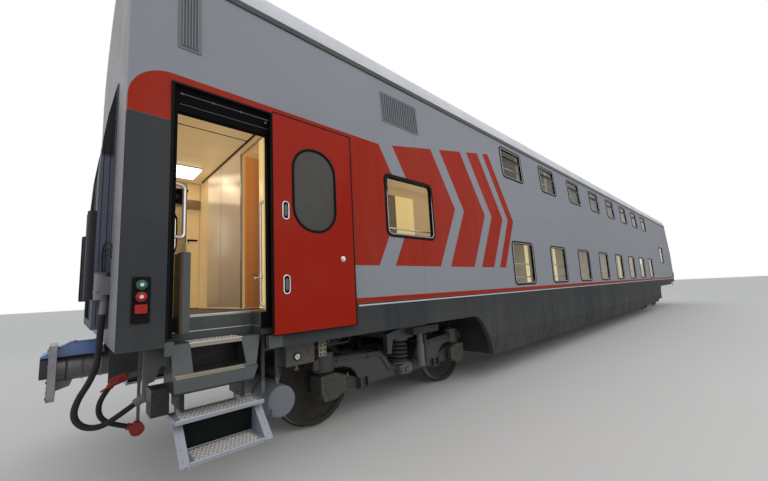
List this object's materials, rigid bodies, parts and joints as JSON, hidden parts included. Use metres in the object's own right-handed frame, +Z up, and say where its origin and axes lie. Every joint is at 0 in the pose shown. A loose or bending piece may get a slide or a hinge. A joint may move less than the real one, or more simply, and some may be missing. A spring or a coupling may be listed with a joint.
{
  "type": "double-deck sleeping coach",
  "caption": "Double-deck railway sleeping coach on two four-wheel bogies, with open boarding door, steps and tight-lock couplers.",
  "frame": {"origin": "bottom centre of the coach's bounding box: midway between the body ends, on the middle plane, at the lowest point of the wheel flanges", "axes": "+X along the coach from the boarding end to the other end, +Y across it to the left side, +Z up"},
  "size_m": [26.33, 3.6, 5.278],
  "materials": {
    "body_grey": "satin coach enamel",
    "roof_light": "satin",
    "gutter_dark": "satin",
    "end_dark": "satin",
    "door_red": "gloss coach enamel",
    "seal_black": "matt",
    "window_glass": "clear",
    "frame_paint": "satin, dusty",
    "laminate": "satin laminate",
    "ceiling_white": "matt",
    "floor_grey": "matt covering",
    "berth_red": "soft",
    "door_wood": "satin veneer",
    "step_grey": "satin",
    "step_silver": "brushed",
    "rail_steel": "brushed",
    "lamp_black": "gloss",
    "tank_grey": "satin",
    "coupler_steel": "painted casting",
    "bogie_paint": "dusty satin",
    "spring_steel": "satin",
    "damper_grey": "satin",
    "wheel_steel": "rolled steel, dusty",
    "hose_rubber": "matt",
    "cock_red": "satin"
  },
  "bodies": {
    "coach_body": {"door_panel_right": "body_grey", "door_panel_left": "body_grey", "side_wall_right": "body_grey", "side_wall_left": "body_grey", "window_frames": "seal_black", "window_panes": "window_glass", "roof": "roof_light", "gutters": "gutter_dark", "end_wall_a": "end_dark", "end_wall_b": "end_dark", "gangway_a": "seal_black", "gangway_b": "seal_black", "end_frame_a": "frame_paint", "end_frame_b": "frame_paint", "well_frame": "frame_paint", "end_floors": "floor_grey", "deck_floors": "floor_grey", "ceilings": "ceiling_white", "cross_walls": "laminate", "corridor_walls": "laminate", "compartment_fittings": "berth_red", "end_partitions": "laminate", "door_surrounds": "seal_black", "door_leaf_right": "door_red", "door_leaf_left": "door_red", "entry_steps": "step_grey", "handrails": "rail_steel", "lamp_panels": "lamp_black", "vent_grilles": "body_grey", "air_gear": "tank_grey", "end_sockets": "damper_grey", "brake_cocks": "cock_red", "jumper_hose": "hose_rubber", "brake_hose": "hose_rubber", "brake_hose_head": "cock_red"},
    "inner_door": {"inner_door": "door_wood"},
    "end_door_a": {"end_door_a": "rail_steel"},
    "end_door_b": {"end_door_b": "rail_steel"},
    "slide_step_right": {"slide_step_right": "step_silver"},
    "slide_step_left": {"slide_step_left": "step_silver"},
    "floor_flap_right": {"floor_flap_right": "step_silver"},
    "floor_flap_left": {"floor_flap_left": "step_silver"},
    "coupler_a": {"coupler_a": "coupler_steel"},
    "coupler_b": {"coupler_b": "coupler_steel"},
    "bogie_a": {"bogie_frame_a": "bogie_paint", "bogie_bolster_a": "bogie_paint", "bogie_springs_a": "spring_steel", "axle_boxes_a": "bogie_paint", "dampers_a": "damper_grey", "brake_gear_a": "bogie_paint"},
    "wheelset_a_outer": {"wheelset_a_outer": "wheel_steel"},
    "wheelset_a_inner": {"wheelset_a_inner": "wheel_steel"},
    "bogie_b": {"bogie_frame_b": "bogie_paint", "bogie_bolster_b": "bogie_paint", "bogie_springs_b": "spring_steel", "axle_boxes_b": "bogie_paint", "dampers_b": "damper_grey", "brake_gear_b": "bogie_paint"},
    "wheelset_b_outer": {"wheelset_b_outer": "wheel_steel"},
    "wheelset_b_inner": {"wheelset_b_inner": "wheel_steel"}
  },
  "joints": [
    {"name": "bogie_a_yaw", "type": "hinge", "parent": "coach_body", "child": "bogie_a", "pos_m": [-9.5, 0, 0.978], "axis": [0, 0, 1], "range_deg": [-3.5, 3.5]},
    {"name": "wheelset_a_outer_spin", "type": "hinge", "parent": "bogie_a", "child": "wheelset_a_outer", "pos_m": [-10.75, 0, 0.5065], "axis": [0, 1, 0], "continuous": true},
    {"name": "wheelset_a_inner_spin", "type": "hinge", "parent": "bogie_a", "child": "wheelset_a_inner", "pos_m": [-8.25, 0, 0.5065], "axis": [0, 1, 0], "continuous": true},
    {"name": "coupler_a_yaw", "type": "hinge", "parent": "coach_body", "child": "coupler_a", "pos_m": [-12.3, 0, 0.993], "axis": [0, 0, 1], "range_deg": [-8, 8]},
    {"name": "end_door_a_slide", "type": "slide", "parent": "coach_body", "child": "end_door_a", "axis": [0, 1, 0], "range_m": [0, 0.93]},
    {"name": "bogie_b_yaw", "type": "hinge", "parent": "coach_body", "child": "bogie_b", "pos_m": [9.5, 0, 0.978], "axis": [0, 0, 1], "range_deg": [-3.5, 3.5]},
    {"name": "wheelset_b_outer_spin", "type": "hinge", "parent": "bogie_b", "child": "wheelset_b_outer", "pos_m": [10.75, 0, 0.5065], "axis": [0, 1, 0], "continuous": true},
    {"name": "wheelset_b_inner_spin", "type": "hinge", "parent": "bogie_b", "child": "wheelset_b_inner", "pos_m": [8.25, 0, 0.5065], "axis": [0, 1, 0], "continuous": true},
    {"name": "coupler_b_yaw", "type": "hinge", "parent": "coach_body", "child": "coupler_b", "pos_m": [12.3, 0, 0.993], "axis": [0, 0, 1], "range_deg": [-8, 8]},
    {"name": "end_door_b_slide", "type": "slide", "parent": "coach_body", "child": "end_door_b", "axis": [0, 1, 0], "range_m": [0, 0.93]},
    {"name": "inner_door_swing", "type": "hinge", "parent": "coach_body", "child": "inner_door", "pos_m": [-11.402, -0.341, 2.398], "axis": [0, 0, 1], "range_deg": [-90, 0]},
    {"name": "slide_step_right_retract", "type": "slide", "parent": "coach_body", "child": "slide_step_right", "axis": [0, 1, 0], "range_m": [0, 0.25]},
    {"name": "slide_step_left_retract", "type": "slide", "parent": "coach_body", "child": "slide_step_left", "axis": [0, -1, 0], "range_m": [0, 0.25]},
    {"name": "floor_flap_right_lower", "type": "hinge", "parent": "coach_body", "child": "floor_flap_right", "pos_m": [-12.299, -1.38, 1.369], "axis": [0, 1, 0], "range_deg": [0, 90]},
    {"name": "floor_flap_left_raise", "type": "hinge", "parent": "coach_body", "child": "floor_flap_left", "pos_m": [-12.299, 1.38, 1.369], "axis": [0, 1, 0], "range_deg": [-90, 0]}
  ]
}
